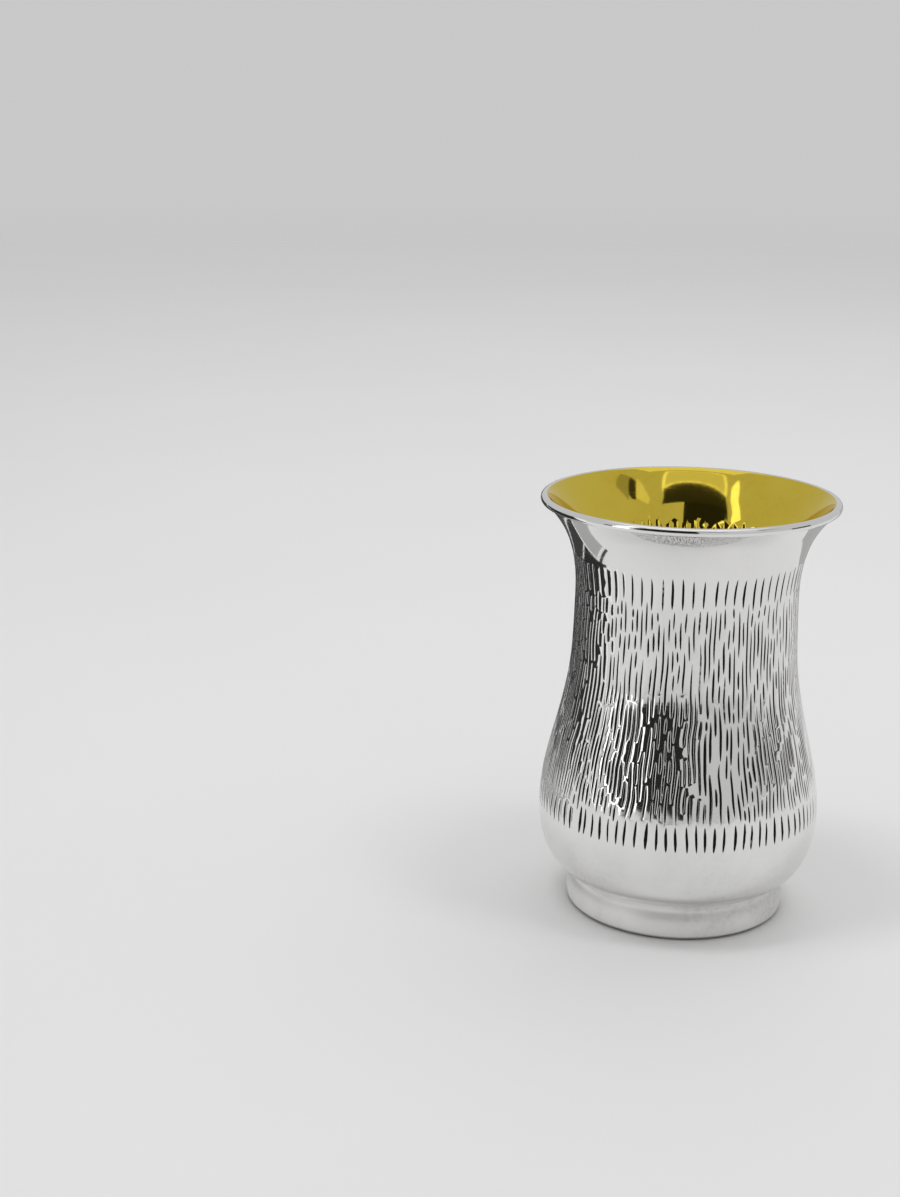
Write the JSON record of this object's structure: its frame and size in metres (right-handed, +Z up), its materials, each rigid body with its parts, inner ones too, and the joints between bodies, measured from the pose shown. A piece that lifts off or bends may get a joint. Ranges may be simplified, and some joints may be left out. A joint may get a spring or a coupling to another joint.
{
  "type": "kiddush cup",
  "caption": "Silver ceremonial wine cup with a ring foot, full belly, slim waist and flared wired rim, its wall chased all over like bark and its inside gilded.",
  "frame": {"origin": "middle of the foot's underside, on the surface the cup stands on", "axes": "+Z up along the cup's axis of turning, through the middle of the mouth; X and Y are any two level directions at right angles"},
  "size_m": [0.0622, 0.0622, 0.09],
  "materials": {
    "chased_silver": "polished silver outside, chased with upright strokes darkened by oxide, and gilded inside",
    "polished_silver": "polished silver with faint tarnish and hairline wear"
  },
  "bodies": {
    "root": {"cup_bowl": "chased_silver", "foot_ring": "polished_silver"}
  },
  "joints": []
}
